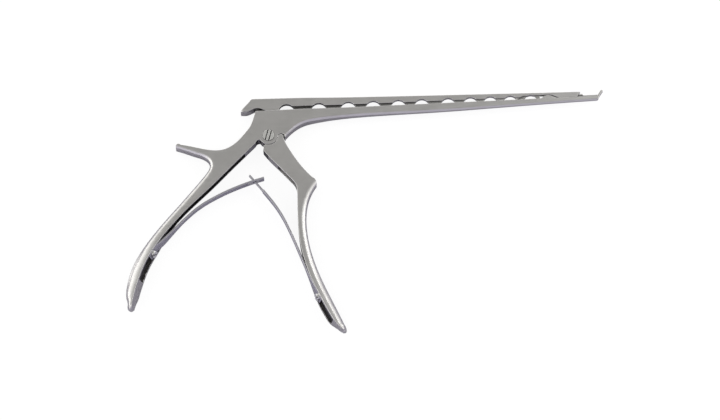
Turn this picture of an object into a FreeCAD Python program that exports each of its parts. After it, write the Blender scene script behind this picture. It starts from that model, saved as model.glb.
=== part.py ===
"""Bone rongeur with a sliding shaft, modelled lying on its side, open, in millimetres.

The origin is on the pivot axis, on the side that the tool lies on. +X is the way the shaft slides,
+Y points from the handles to the shaft and +Z is up through the thickness of the tool.
"""

import FreeCAD, Part
import math
import os
from types import SimpleNamespace

import Sketcher

os.makedirs("parts", exist_ok=True)
V = FreeCAD.Vector
doc = FreeCAD.newDocument("BoneRongeur")

# The driving dimensions: alias, value in mm or degrees, meaning.
SIZES = [
    ("body_thickness", 9.0, "frame, handles and trigger, across the flat sides"),
    ("pivot_to_rail", 15.5, "pivot axis up to the plane that the shaft slides on"),
    ("jaw_opening", 12.0, "travel of the sliding shaft"),
    ("slide_front", 186.6, "pivot to the cutting face, open, at the sliding plane"),
    ("bite_angle", 35.0, "forward lean of the two jaw faces"),
    ("slide_height_rear", 7.7, "sliding shaft above the pivot"),
    ("slide_height_front", 3.0, "sliding shaft at the cutting face"),
    ("slide_top_back", 8.4, "pivot back to the rear end of the shaft's top edge"),
    ("slide_tail_back", 15.9, "pivot back to the tip of the shaft's tail"),
    ("shaft_width_front", 3.1, "lower shaft at the jaw"),
    ("slide_inset", 0.1, "sliding shaft inside each side of the lower shaft"),
    ("slide_clearance", 0.05, "gap between the shafts at the sliding plane"),
    ("web_width", 2.2, "sliding shaft between its windows"),
    ("web_height_rear", 2.0, "height of the narrowed web at the first window"),
    ("web_height_front", 1.3, "height of the narrowed web at the last window"),
    ("window_first", 11.7, "pivot to the middle of the first window"),
    ("window_length_rear", 9.8, "first window, along the shaft"),
    ("window_length_front", 7.8, "last window, along the shaft"),
    ("window_height_rear", 3.4, "first window"),
    ("window_height_front", 2.5, "last window"),
    ("lug_front", 175.2, "pivot to the front end of the lower shaft's lug"),
    ("lug_length", 11.0, "lug of the lower shaft"),
    ("lug_height", 1.9, "lug above the sliding plane"),
    ("lug_clearance", 0.3, "gap round the lug in the sliding shaft"),
    ("lug_web", 1.2, "sliding shaft between the two cheeks of the lug"),
    ("rail_back", 10.0, "front rail, reach behind the open cutting face"),
    ("rail_front", 3.7, "front rail head, reach ahead of the open cutting face"),
    ("rail_neck_width", 1.0, "front rail, neck"),
    ("rail_neck_height", 0.9, "front rail, neck"),
    ("rail_head_width", 1.9, "front rail, head"),
    ("rail_head_height", 0.8, "front rail, head"),
    ("rail_clearance", 0.1, "gap round each rail and guide foot"),
    ("guide_start", 17.0, "pivot to the rear end of the guide foot"),
    ("guide_length", 8.0, "guide foot under the sliding shaft"),
    ("guide_neck_width", 1.6, "guide foot, neck"),
    ("guide_neck_height", 1.2, "guide foot, neck"),
    ("guide_head_width", 3.0, "guide foot, head"),
    ("guide_head_height", 1.2, "guide foot, head"),
    ("foot_height", 3.4, "footplate above the sliding plane"),
    ("foot_thickness", 1.3, "footplate"),
    ("cup_radius", 0.9, "hollow in each jaw face"),
    ("cup_depth", 0.45, "hollow in each jaw face"),
    ("shaft_depth_root", 6.1, "lower shaft at its root"),
    ("shaft_depth_middle", 4.9, "lower shaft half way along"),
    ("shaft_depth_front", 2.5, "lower shaft at the jaw"),
    ("shaft_width_middle", 4.8, "lower shaft two fifths of the way along"),
    ("shaft_bevel", 1.2, "bevels under the lower shaft"),
    ("lobe_radius", 5.65, "rounded end of the frame round the pivot"),
    ("lobe_gap", 0.3, "gap between the frame's lobe and the trigger"),
    ("slot_width", 3.2, "slot in the frame for the trigger's tang"),
    ("slot_radius", 6.2, "slot round the pivot"),
    ("tang_thickness", 3.0, "tang of the trigger"),
    ("tang_boss_radius", 5.2, "tang round the pivot"),
    ("nose_reach", 19.6, "pivot to the centre of the tang's nose"),
    ("tang_neck_width", 1.8, "tang just below its nose"),
    ("nose_radius", 1.3, "nose that drives the sliding shaft"),
    ("nose_clearance", 0.15, "gap on each side of the nose"),
    ("pivot_diameter", 5.0, "shank of the pivot screw"),
    ("pivot_clearance", 0.04, "radial gap of the trigger on the pivot screw"),
    ("thread_clearance", 0.03, "radial gap of the screws in the frame and handles"),
    ("pivot_head_diameter", 6.8, "head of the pivot screw"),
    ("pivot_head_sunk", 0.9, "depth of the pivot head's recess"),
    ("pivot_head_proud", 0.5, "pivot head above the side of the frame"),
    ("driver_slot_width", 0.7, "each of the two slots in the pivot head"),
    ("driver_slot_spacing", 2.1, "between the two slots in the pivot head"),
    ("driver_slot_depth", 0.6, "slots in the screw heads"),
    ("driver_slot_angle", 72.0, "direction of the slots in the pivot head"),
    ("palm_radius", 2.5, "rounding of the rear handle's palm edges"),
    ("finger_radius", 3.6, "rounding of the trigger's finger edges"),
    ("end_radius", 3.0, "rounding of the handles' lower ends, seen edge on"),
    ("inner_radius", 0.3, "rounding of the handles' inner edges"),
    ("groove_width", 6.4, "groove down the inner side of each handle"),
    ("groove_depth", 0.9, "groove down the inner side of each handle"),
    ("rear_seat_up", 37.0, "rear spring's screw, from the end of the rear handle"),
    ("front_seat_up", 26.5, "front spring's screw, from the end of the trigger"),
    ("spring_foot", 3.4, "spring foot, each way from its screw"),
    ("seat_gap", 0.03, "spring foot above its seat"),
    ("seat_length", 16.0, "flat seat of each leaf spring"),
    ("seat_depth", 1.3, "spring seat below the handle's inner side"),
    ("spring_width", 5.6, "leaf springs"),
    ("spring_thickness", 0.9, "leaf springs"),
    ("spring_screw_diameter", 2.5, "shank of the spring screws"),
    ("spring_screw_length", 3.2, "spring screws, into the handle"),
    ("spring_head_diameter", 4.4, "head of the spring screws"),
    ("spring_head_height", 1.5, "head of the spring screws"),
    ("tongue_width", 2.2, "tongue of the front spring"),
    ("tongue_clearance", 0.4, "gap on each side of the tongue in the rear spring"),
]

# Distances from the middle of each window to the middle of the next, as on the real shaft.
WINDOW_PITCHES = (19.4, 17.7, 15.0, 15.2, 14.0, 15.9, 13.4, 12.0, 12.0, 12.3)

# How the springs climb out of their grooves: distance past the screw, height above the handle.
SPRING_CLIMB = ((9.0, -0.35), (15.0, 0.6))

# Outlines of the freely curved edges, as x and y from the pivot.
FRAME_BACK = [(-8.7, 10.6), (-10.8, 6.0), (-14.0, 2.05), (-17.3, -1.5), (-22.2, -5.4),
              (-27.1, -7.5), (-32.5, -7.9), (-38.5, -6.9), (-47.4, -4.5), (-53.0, -3.2)]
SPUR_TIP = [(-55.7, -3.4), (-55.3, -5.3)]
SPUR_UNDERSIDE = [(-50.5, -7.1), (-44.6, -9.5), (-39.2, -11.8), (-36.4, -14.6), (-36.0, -17.4),
                  (-38.0, -21.2), (-43.8, -27.9), (-56.5, -41.6), (-71.1, -57.2), (-84.1, -75.4),
                  (-88.7, -87.7), (-89.9, -95.8), (-89.3, -100.5)]
REAR_END = [(-87.5, -104.6), (-85.6, -102.9)]
REAR_INNER = [(-85.0, -95.4), (-82.3, -87.0), (-78.9, -78.5), (-71.6, -66.3), (-62.0, -55.0),
              (-49.3, -42.2), (-36.7, -31.1), (-24.1, -19.3), (-11.5, -7.7), (-7.9, -4.4)]
TRIGGER_FRONT = [(9.7, -4.5), (12.4, -10.0), (18.0, -19.2), (25.0, -27.7)]
TRIGGER_KNEE = [(27.3, -30.4), (26.9, -33.0)]
TRIGGER_FINGERS = [(22.6, -40.7), (20.6, -48.5), (20.1, -56.5), (21.0, -67.5), (24.0, -80.6),
                   (30.6, -98.0), (36.2, -110.8), (39.8, -119.6)]
TRIGGER_END = [(40.2, -124.4), (37.2, -124.4)]
TRIGGER_INNER = [(33.2, -116.8), (28.9, -108.3), (24.9, -99.3), (21.4, -90.9), (17.9, -79.4),
                 (16.0, -70.5), (15.2, -60.4), (15.1, -51.0), (15.5, -38.0), (15.1, -32.1),
                 (11.5, -26.9), (5.8, -20.4), (0.2, -14.1), (-3.2, -9.6)]
REAR_SPRING = [(-57.9, -52.9), (-51.2, -46.6), (-42.6, -41.2), (-31.0, -35.4), (-18.6, -30.4),
               (-3.9, -26.1)]
FRONT_SPRING = [(16.0, -82.0), (12.6, -68.0), (7.2, -53.8), (0.3, -41.2), (-9.3, -28.9),
                (-12.9, -23.4)]


def make_sheet():
    """Put every driving dimension in the document's spreadsheet and return it."""
    sheet = doc.addObject("Spreadsheet::Sheet", "Sizes")
    for row, (alias, value, meaning) in enumerate(SIZES, start=1):
        sheet.set(f"A{row}", meaning)
        sheet.set(f"B{row}", str(value))
        sheet.setAlias(f"B{row}", alias)
    doc.recompute()
    return sheet


sheet = make_sheet()
S = SimpleNamespace(**{alias: float(sheet.get(alias)) for alias, _, _ in SIZES})

MIDDLE = "Sizes.body_thickness / 2"
RAIL_Y = S.pivot_to_rail
SLIDE_Y = RAIL_Y + S.slide_clearance
HALF_SWING = math.degrees(math.asin(S.jaw_opening / 2 / S.nose_reach))
LEAN = math.tan(math.radians(S.bite_angle))

# Arcs that bend less than this, per mm, are drawn straight.
STRAIGHT = 1e-5
# An edge belongs to a curve when it keeps this near to it, in mm.
RIM_REACH = 0.15


class Outline:
    """A closed outline in a sketch, drawn edge by edge from its first point."""

    def __init__(self, x, y):
        self.first = V(x, y, 0)
        self.at = self.first
        self.edges = []
        self.joints = []

    def add(self, edge, end):
        self.edges.append(edge)
        self.joints.append(end)
        self.at = end
        return self

    def line(self, x, y):
        end = V(x, y, 0)
        return self.add(Part.LineSegment(self.at, end), end)

    def arc(self, middle_x, middle_y, x, y):
        end = V(x, y, 0)
        return self.add(Part.Arc(self.at, V(middle_x, middle_y, 0), end), end)

    def curve(self, points):
        spline = spline_through([(self.at.x, self.at.y)] + list(points))
        return self.add(spline, V(points[-1][0], points[-1][1], 0))

    def arcs(self, points):
        """Follow the smooth curve through the points in arcs that meet smoothly, two to a span."""
        spline = spline_through([(self.at.x, self.at.y)] + list(points))
        along = spline.tangent(spline.FirstParameter)[0]
        for x, y in points:
            end = V(x, y, 0)
            out = spline.tangent(spline.parameter(end))[0]
            for stop in (meeting(self.at, along, end, out), end):
                edge, along = arc_along(self.at, along, stop)
                self.add(edge, stop)
        return self

    def close(self):
        return self.line(self.first.x, self.first.y)


def spline_through(points):
    """Return the smooth curve through a list of points."""
    spline = Part.BSplineCurve()
    spline.interpolate([V(x, y, 0) for x, y in points])
    return spline


def meeting(start, leaving, end, arriving):
    """Return where two arcs meet that leave one point and arrive at another in given directions."""
    span = end - start
    turn = 2 * (1 - leaving.dot(arriving))
    reach = span.dot(leaving + arriving)
    leg = span.dot(span) / (reach + math.sqrt(reach * reach + turn * span.dot(span)))
    return (start + end + (leaving - arriving) * leg) * 0.5


def arc_along(start, leaving, end):
    """Return the arc that leaves a point in a given direction, and its direction at the end."""
    chord = end - start
    normal = V(-leaving.y, leaving.x, 0)
    bend = 2 * normal.dot(chord) / chord.dot(chord)
    if abs(bend) < STRAIGHT:
        return Part.LineSegment(start, end), chord.normalize()
    centre = start + normal * (1 / bend)
    middle = centre + ((start + end) * 0.5 - centre).normalize() * abs(1 / bend)
    spoke = (end - centre) * bend
    return Part.Arc(start, middle, end), V(-spoke.y, spoke.x, 0).normalize()


def rectangle(x0, y0, x1, y1):
    """Return a closed rectangle."""
    return Outline(x0, y0).line(x1, y0).line(x1, y1).line(x0, y1).close()


def circle(x, y, radius):
    """Return a circle as an outline of one edge."""
    ring = Outline(x, y)
    ring.edges = [Part.Circle(V(x, y, 0), V(0, 0, 1), radius)]
    return ring


def polar(radius, degrees):
    """Return the point at a distance and direction from the pivot."""
    turn = math.radians(degrees)
    return radius * math.cos(turn), radius * math.sin(turn)


def new_body(name):
    """Add a body whose label is the name of the piece."""
    body = doc.addObject("PartDesign::Body", name)
    body.Label = name
    return body


def end_at(sketch, edge, point):
    """Return which end of a sketched edge lies at a point: 1 or 2."""
    gaps = [sketch.getPoint(edge, end).distanceToPoint(point) for end in (1, 2)]
    return 1 if gaps[0] < gaps[1] else 2


def new_sketch(body, name, outlines, plane="XY_Plane", height=None, offset=None, bound=()):
    """Draw outlines on one of the body's own planes.

    height is an expression for the distance from the plane, offset a placement on it. Each item of
    bound ties one end of an edge, or a circle's radius, to an expression of the spreadsheet.
    """
    sketch = body.newObject("Sketcher::SketchObject", name)
    origin = [f for f in body.Origin.OriginFeatures if f.Role == plane][0]
    sketch.AttachmentSupport = [(origin, "")]
    sketch.MapMode = "FlatFace"
    for outline in outlines:
        first = sketch.GeometryCount
        sketch.addGeometry(outline.edges, False)
        count = len(outline.edges)
        for index in range(count if count > 1 else 0):
            edge, following = first + index, first + (index + 1) % count
            ends = [end_at(sketch, number, outline.joints[index]) for number in (edge, following)]
            sketch.addConstraint(Sketcher.Constraint("Coincident", edge, ends[0], following, ends[1]))
    for kind, edge, end, value, expression in bound:
        if kind == "Radius":
            number = sketch.addConstraint(Sketcher.Constraint(kind, edge, value))
        else:
            number = sketch.addConstraint(Sketcher.Constraint(kind, -1, 1, edge, end, value))
        sketch.setExpression(f"Constraints[{number}]", expression)
    if offset is not None:
        sketch.AttachmentOffset = offset
    if height is not None:
        sketch.setExpression(".AttachmentOffset.Base.z", height)
    return sketch


def computed(feature):
    """Compute the document and return the feature, if it made a sound shape."""
    doc.recompute()
    if "Invalid" in feature.State or feature.Shape.isNull() or not feature.Shape.isValid():
        raise RuntimeError(f"{feature.Label} made no sound shape: {feature.State}")
    return feature


def pad(body, name, sketch, length):
    """Raise a sketch by an expression for its length."""
    feature = body.newObject("PartDesign::Pad", name)
    feature.Profile = sketch
    feature.setExpression("Length", length)
    return computed(feature)


def pocket(body, name, sketch, length=None, upward=True):
    """Cut a sketch out of the body: through all both ways, or over a length from its plane."""
    before = body.Shape.Volume
    feature = body.newObject("PartDesign::Pocket", name)
    feature.Profile = sketch
    if length is None:
        feature.Type = "ThroughAll"
        feature.SideType = "Symmetric"
    else:
        feature.setExpression("Length", length)
        feature.Reversed = upward
    computed(feature)
    if not feature.Shape.Volume < before - 1e-3:
        raise RuntimeError(f"{name} cuts nothing")
    return feature


def central_pocket(body, name, outlines, width):
    """Cut a slot of the given width, half each side of the middle of the thickness."""
    sketch = new_sketch(body, name + "Sketch", outlines, height=f"{MIDDLE} - ({width}) / 2")
    return pocket(body, name, sketch, width)


def side_pockets(body, name, outlines, width):
    """Cut outlines away from both sides, leaving a central web of the given width."""
    depth = f"{MIDDLE} - ({width}) / 2"
    low = new_sketch(body, name + "LowSketch", outlines)
    pocket(body, name + "Low", low, depth)
    high = new_sketch(body, name + "HighSketch", outlines, height="Sizes.body_thickness")
    return pocket(body, name + "High", high, depth, upward=False)


def plan_trim(body, name, curve, x_end, far):
    """Trim both sides to a plan outline, given as one curve of half widths against x."""
    middle = S.body_thickness / 2
    loops = []
    for sign in (1, -1):
        start = curve[0]
        loop = Outline(start[0], middle + sign * start[1])
        loop.curve([(x, middle + sign * half) for x, half in curve[1:]])
        loop.line(x_end, middle + sign * curve[-1][1])
        loop.line(x_end, middle + sign * far).line(start[0], middle + sign * far).close()
        loops.append(loop)
    sketch = new_sketch(body, name + "Sketch", loops, plane="XZ_Plane")
    return pocket(body, name, sketch)


def rims(shape, curves, heights):
    """Name the edges of a shape that follow one of the curves at one of the heights."""
    names = []
    for height in heights:
        traces = [curve.toShape() for curve in curves]
        for trace in traces:
            trace.translate(V(0, 0, height))
        for number, edge in enumerate(shape.Edges, start=1):
            points = [edge.valueAt(edge.FirstParameter + share * (edge.LastParameter - edge.FirstParameter))
                      for share in (0.1, 0.5, 0.9)]
            for trace in traces:
                if all(trace.distToShape(Part.Vertex(point))[0] < RIM_REACH for point in points):
                    names.append(f"Edge{number}")
                    break
    return names


def round_edges(body, name, names, radius):
    """Round the named edges of the body's last feature."""
    feature = body.newObject("PartDesign::Fillet", name)
    feature.Base = (body.Tip if body.Tip != feature else feature.BaseFeature, names)
    feature.setExpression("Radius", radius)
    return computed(feature)


def offset_points(curve, distance, start=0.0, end=1.0, count=12):
    """Return points at a distance to the left of a curve, between two shares of its length."""
    first, last = curve.FirstParameter, curve.LastParameter
    points = []
    for step in range(count):
        share = start + (end - start) * step / (count - 1)
        parameter = first + share * (last - first)
        place = curve.value(parameter)
        along = curve.tangent(parameter)[0]
        points.append((place.x - distance * along.y, place.y + distance * along.x))
    return points


def seat_on(curve, distance, inward):
    """Return a spring seat on a handle's inner side, at a distance along it from the handle's end.

    inward is 1 where the handle lies left of the curve, and -1 where it lies right.
    """
    place, along = station(curve, distance)
    away = V(along.y, -along.x, 0) * inward
    return SimpleNamespace(curve=curve, distance=distance, inward=inward, place=place, along=along, away=away)


def station(curve, distance):
    """Return the point and direction of a curve at a distance along it."""
    parameter = curve.parameterAtDistance(distance, curve.FirstParameter)
    return curve.value(parameter), curve.tangent(parameter)[0]


def seat_point(seat, along, away):
    """Return a point given along and away from a seat."""
    point = seat.place + seat.along * along + seat.away * away
    return point.x, point.y


def finish(body):
    """Return the body once its document is computed and its shape is sound."""
    doc.recompute()
    if body.Shape.isNull() or not body.Shape.isValid():
        raise RuntimeError(f"{body.Label} has no valid shape")
    return body


# The springs' seats on the inner sides of the two handles.
rear_inner = spline_through([REAR_END[-1]] + REAR_INNER)
trigger_inner = spline_through([TRIGGER_END[-1]] + TRIGGER_INNER)
REAR_SEAT = seat_on(rear_inner, S.rear_seat_up, 1)
FRONT_SEAT = seat_on(trigger_inner, S.front_seat_up, -1)


def central_pad(body, name, outlines, width):
    """Add a plate of the given width, half each side of the middle of the thickness."""
    sketch = new_sketch(body, name + "Sketch", outlines, height=f"{MIDDLE} - ({width}) / 2")
    return pad(body, name, sketch, width)


def groove_outline(curve, inward, start, end):
    """Return the side outline of a groove along a handle's inner side."""
    inside = offset_points(curve, inward * S.groove_depth, start, end)
    outside = offset_points(curve, -inward, start, end)
    outline = Outline(*inside[0]).curve(inside[1:])
    return outline.line(*outside[-1]).curve(outside[-2::-1]).close()


def seat_outline(seat):
    """Return the side outline of a flat spring seat."""
    half = S.seat_length / 2
    return (Outline(*seat_point(seat, -half, -S.seat_depth)).line(*seat_point(seat, half, -S.seat_depth))
            .line(*seat_point(seat, half, 1.0)).line(*seat_point(seat, -half, 1.0)).close())


def seat_placement(seat, away):
    """Return a placement whose Z points away from a handle, at a height above its inner side."""
    point = seat.place + seat.away * away
    point.z = S.body_thickness / 2
    return FreeCAD.Placement(point, FreeCAD.Rotation(V(0, 0, 1), seat.away))


def spring_hole(body, name, seat, away, depth, clearance):
    """Drill a spring screw's hole towards the handle, from a height above its inner side."""
    radius = S.spring_screw_diameter / 2 + clearance
    sketch = new_sketch(body, name + "Sketch", [circle(0, 0, radius)], offset=seat_placement(seat, away))
    return pocket(body, name, sketch, depth, upward=False)


def spring_ribbon(seat, path):
    """Return the side outline of a leaf spring: a straight foot on its seat, then a free curve.

    The curve climbs out of the groove beside its seat, then follows its path.
    """
    half = S.spring_thickness / 2
    lift = half - S.seat_depth + S.seat_gap
    heel, toe = seat_point(seat, -S.spring_foot, lift), seat_point(seat, S.spring_foot, lift)
    points = [toe]
    for beyond, climb in SPRING_CLIMB:
        place, along = station(seat.curve, seat.distance + beyond)
        point = place + V(along.y, -along.x, 0) * (seat.inward * (climb + half))
        points.append((point.x, point.y))
    points += path
    middle = Part.BSplineCurve()
    last = V(*points[-1], 0) - V(*points[-2], 0)
    middle.interpolate(Points=[V(x, y, 0) for x, y in points], InitialTangent=seat.along,
                       FinalTangent=last.normalize())
    upper = offset_points(middle, half, count=22)
    lower = offset_points(middle, -half, count=22)
    across = V(-seat.along.y, seat.along.x, 0) * half
    heel_upper, heel_lower = V(*heel, 0) + across, V(*heel, 0) - across
    outline = Outline(heel_upper.x, heel_upper.y).line(*upper[0]).curve(upper[1:])
    return outline.line(*lower[-1]).curve(lower[-2::-1]).line(heel_lower.x, heel_lower.y).close()


FOOT_BASE = S.slide_front + S.jaw_opening
BEVEL_START, BEVEL_STATIONS, HALVINGS = 10.2, 18, 40
LOBE_RIGHT, LOBE_LEFT = -17.0, -151.5


def underside():
    """Return the points of the lower shaft's underside, from the jaw back to the frame's lip."""
    middle, front, root = S.shaft_depth_middle, S.shaft_depth_front, S.shaft_depth_root
    return [(FOOT_BASE - 0.3, RAIL_Y - front), (140.0, RAIL_Y - (middle + front) / 2 - 0.2),
            (98.0, RAIL_Y - middle), (62.0, RAIL_Y - (middle + root) / 2 + 0.3), (40.0, RAIL_Y - root),
            (28.5, 8.2), (20.6, 6.4), (14.3, 2.6), (9.8, -1.7)]


def frame_outline():
    """Return the side outline of the frame, its handle, spur, lower shaft and footplate."""
    tip_y = RAIL_Y + S.foot_height - 0.3
    tip_x = FOOT_BASE + LEAN * (S.foot_height - 0.3)
    wide = S.foot_thickness / math.cos(math.radians(S.bite_angle))
    under = underside()
    outline = Outline(-7.0, RAIL_Y).line(FOOT_BASE, RAIL_Y).line(tip_x, tip_y)
    outline.arc(tip_x + wide * 0.7, tip_y + 0.3, tip_x + wide, tip_y - 0.1)
    outline.line(FOOT_BASE + wide - LEAN, RAIL_Y - 1.0)
    outline.arc(FOOT_BASE + wide - LEAN - 0.35, under[0][1] + 0.45, *under[0])
    outline.curve(under[1:])
    outline.arc(7.7, 0.65, *polar(S.lobe_radius, LOBE_RIGHT))
    outline.arc(*polar(S.lobe_radius, (LOBE_RIGHT + LOBE_LEFT) / 2), *polar(S.lobe_radius, LOBE_LEFT))
    outline.arc(-6.3, -2.7, *REAR_INNER[-1])
    outline.curve(REAR_INNER[-2::-1] + [REAR_END[-1]])
    outline.arc(*REAR_END[0], *SPUR_UNDERSIDE[-1])
    outline.curve(SPUR_UNDERSIDE[-2::-1] + [SPUR_TIP[1]])
    outline.arc(*SPUR_TIP[0], *FRAME_BACK[-1])
    return outline.curve(FRAME_BACK[-2::-1] + [(-7.0, RAIL_Y)])


def tang_slot_outline():
    """Return the slot that the trigger's tang swings in, open at the rear of the frame's top."""
    reach = S.slot_radius
    top = RAIL_Y + 1.0
    outline = Outline(reach, 0).line(reach + 1.6, top).line(-11.0, top).line(-11.0, 12.6)
    outline.line(-reach - 1.0, 10.8).line(-reach, 0)
    return outline.arc(0, -reach, reach, 0)


def jaw_cup(body, name, x, up, facing):
    """Hollow out one jaw face, at a distance up from the sliding plane."""
    lean = math.radians(S.bite_angle)
    outward = V(math.cos(lean), -math.sin(lean), 0) * facing
    place = V(x + LEAN * up, RAIL_Y + up, S.body_thickness / 2)
    placement = FreeCAD.Placement(place, FreeCAD.Rotation(V(0, 0, 1), outward))
    sketch = new_sketch(body, name + "Sketch", [circle(0, 0, S.cup_radius)], offset=placement)
    return pocket(body, name, sketch, "Sizes.cup_depth", upward=False)


def shaft_plan(inset):
    """Return the half widths of both shafts against x, drawn in by an inset on each side."""
    root, middle, front = S.body_thickness / 2, S.shaft_width_middle / 2, S.shaft_width_front / 2
    halves = [(22.0, root), (30.0, root - 0.5), (40.0, root - 1.15), (55.0, middle + 0.45), (80.0, middle),
              (116.0, (middle + front) / 2), (150.0, front + 0.1), (S.lug_front, front)]
    return [(x, half - inset) for x, half in halves]


def height_at(curve, x):
    """Return the height of a curve, which runs one way along x, above a value of x."""
    low, high = curve.FirstParameter, curve.LastParameter
    rising = curve.value(high).x > curve.value(low).x
    for _ in range(HALVINGS):
        middle = (low + high) / 2
        if (curve.value(middle).x < x) == rising:
            low = middle
        else:
            high = middle
    return curve.value(low).y


def under_bevel(body, name, side):
    """Bevel one lower edge of the lower shaft at 45 degrees, from the frame's lip to the jaw."""
    under = spline_through(underside())
    half = spline_through(shaft_plan(0.0))
    points = []
    for step in range(BEVEL_STATIONS):
        x = BEVEL_START + (FOOT_BASE - 0.5 - BEVEL_START) * (step / (BEVEL_STATIONS - 1)) ** 1.5
        width = height_at(half, min(max(x, 22.0), S.lug_front))
        size = S.shaft_bevel * (1 - 0.4 * x / FOOT_BASE)
        points.append((x, (height_at(under, x) - width + size) * math.sqrt(0.5)))
    low = min(y for _, y in points) - 6.0
    outline = Outline(*points[0]).curve(points[1:]).line(FOOT_BASE + 6.0, points[-1][1])
    outline.line(FOOT_BASE + 6.0, low).line(points[0][0], low).close()
    place = V(0, 0, S.body_thickness / 2)
    placement = FreeCAD.Placement(place, FreeCAD.Rotation(V(1, 0, 0), V(0, 1, -side), V(0, side, 1), "XYZ"))
    return pocket(body, name, new_sketch(body, name + "Sketch", [outline], offset=placement))


def round_end(body, name, tip, above):
    """Round a handle's lower end, seen edge on, from its tip and a point of the handle above it."""
    out = (V(*tip, 0) - V(*above, 0)).normalize()
    place = V(*tip, 0)
    placement = FreeCAD.Placement(place, FreeCAD.Rotation(out, V(0, 0, 1), V(0, 0, 0), "XYZ"))
    radius, thick = S.end_radius, S.body_thickness
    slant = radius * math.sqrt(0.5)
    corners = []
    for low, sign in ((0.0, 1), (thick, -1)):
        corner = Outline(-radius, low).arc(slant - radius, low + sign * (radius - slant), 0.0, low + sign * radius)
        corners.append(corner.line(2.0, low + sign * radius).line(2.0, low - sign).line(-radius, low - sign).close())
    return pocket(body, name, new_sketch(body, name + "Sketch", corners, offset=placement))


def make_fixed_shaft():
    """Build the frame in one piece with the rear handle, spur, lower shaft and footplate."""
    body = new_body("fixed_shaft")
    sketch = new_sketch(body, "FrameOutline", [frame_outline()],
                        bound=[("DistanceY", 0, 1, RAIL_Y, "Sizes.pivot_to_rail"),
                               ("DistanceX", 0, 2, FOOT_BASE, "Sizes.slide_front + Sizes.jaw_opening")])
    pad(body, "FrameBlank", sketch, "Sizes.body_thickness")
    plan_trim(body, "ShaftTaper", shaft_plan(0.0), FOOT_BASE + 10.0, S.body_thickness)
    for name, side in (("BevelLow", -1), ("BevelHigh", 1)):
        under_bevel(body, name, side)

    palm = spline_through([SPUR_TIP[1]] + SPUR_UNDERSIDE)
    faces = (0.0, S.body_thickness)
    round_edges(body, "PalmRounding", rims(body.Shape, [palm], faces), "Sizes.palm_radius")
    round_edges(body, "InnerRounding", rims(body.Shape, [rear_inner], faces), "Sizes.inner_radius")

    rail_back = S.slide_front - S.rail_back
    neck_top = RAIL_Y + S.rail_neck_height
    central_pad(body, "RailNeck", [rectangle(rail_back, RAIL_Y - 0.5, FOOT_BASE + 0.4, neck_top)],
                "Sizes.rail_neck_width")
    central_pad(body, "RailHead", [rectangle(rail_back, neck_top, S.slide_front + S.rail_front,
                                             neck_top + S.rail_head_height)], "Sizes.rail_head_width")
    start = S.lug_front - S.lug_length
    lug = Outline(start, RAIL_Y - 0.5).line(start, RAIL_Y)
    lug.curve([(start + share * S.lug_length, RAIL_Y + rise * S.lug_height)
               for share, rise in ((0.16, 0.47), (0.38, 1.0), (0.56, 0.9), (0.82, 0.24), (1.0, 0.0))])
    lug.line(S.lug_front, RAIL_Y - 0.5).close()
    central_pad(body, "Lug", [lug], "Sizes.shaft_width_front - 2 * Sizes.slide_inset")
    central_pocket(body, "LugCheeks", [rectangle(start - 1.0, RAIL_Y, S.lug_front + 1.0, RAIL_Y + S.lug_height + 1.0)],
                   "Sizes.lug_web + 2 * Sizes.nose_clearance")

    central_pocket(body, "TangSlot", [tang_slot_outline()], "Sizes.slot_width")
    lips = RAIL_Y - S.guide_neck_height + S.rail_clearance
    floor = RAIL_Y - S.guide_neck_height - S.guide_head_height - S.rail_clearance
    guide_end = S.guide_start + S.guide_length + S.jaw_opening + 0.7
    central_pocket(body, "GuideChamber", [rectangle(0, floor, guide_end, lips)],
                   "Sizes.guide_head_width + 2 * Sizes.rail_clearance")
    central_pocket(body, "GuideSlot", [rectangle(0, floor, guide_end, RAIL_Y + 1.0)],
                   "Sizes.guide_neck_width + 2 * Sizes.rail_clearance")

    radius = S.pivot_diameter / 2 + S.thread_clearance
    hole = new_sketch(body, "PivotHoleSketch", [circle(0, 0, radius)],
                      bound=[("Radius", 0, 0, radius, "Sizes.pivot_diameter / 2 + Sizes.thread_clearance")])
    pocket(body, "PivotHole", hole)
    recess = new_sketch(body, "HeadRecessSketch", [circle(0, 0, S.pivot_head_diameter / 2 + 0.1)],
                        height="Sizes.body_thickness")
    pocket(body, "HeadRecess", recess, "Sizes.pivot_head_sunk", upward=False)

    central_pocket(body, "RearGroove", [groove_outline(rear_inner, 1, 0.14, 0.93)], "Sizes.groove_width")
    central_pocket(body, "RearSeat", [seat_outline(REAR_SEAT)], "Sizes.groove_width")
    spring_hole(body, "RearSpringHole", REAR_SEAT, 1.0, "Sizes.seat_depth + 1 + Sizes.spring_screw_length + 0.2",
                S.thread_clearance)
    jaw_cup(body, "FootCup", FOOT_BASE, 2.2, -1)
    return finish(body)


def slide_outline():
    """Return the side outline of the sliding shaft, without its windows."""
    top_front = (S.slide_front + LEAN * S.slide_height_front, RAIL_Y + S.slide_height_front)
    top_rear = (-S.slide_top_back, RAIL_Y + S.slide_height_rear)
    outline = Outline(S.slide_front, SLIDE_Y).line(*top_front).line(*top_rear)
    outline.arc(top_rear[0] - 1.0, top_rear[1] - 0.35, top_rear[0] - 1.8, top_rear[1] - 1.3)
    outline.line(-S.slide_tail_back + 0.15, SLIDE_Y + 0.8)
    outline.arc(-S.slide_tail_back + 0.1, SLIDE_Y + 0.2, -S.slide_tail_back + 0.7, SLIDE_Y)
    outline.line(-12.7, SLIDE_Y).curve([(-10.2, 16.2), (-7.8, 17.2), (-5.3, 17.5), (-2.8, 16.6), (-0.6, SLIDE_Y)])
    return outline.close()


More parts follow.
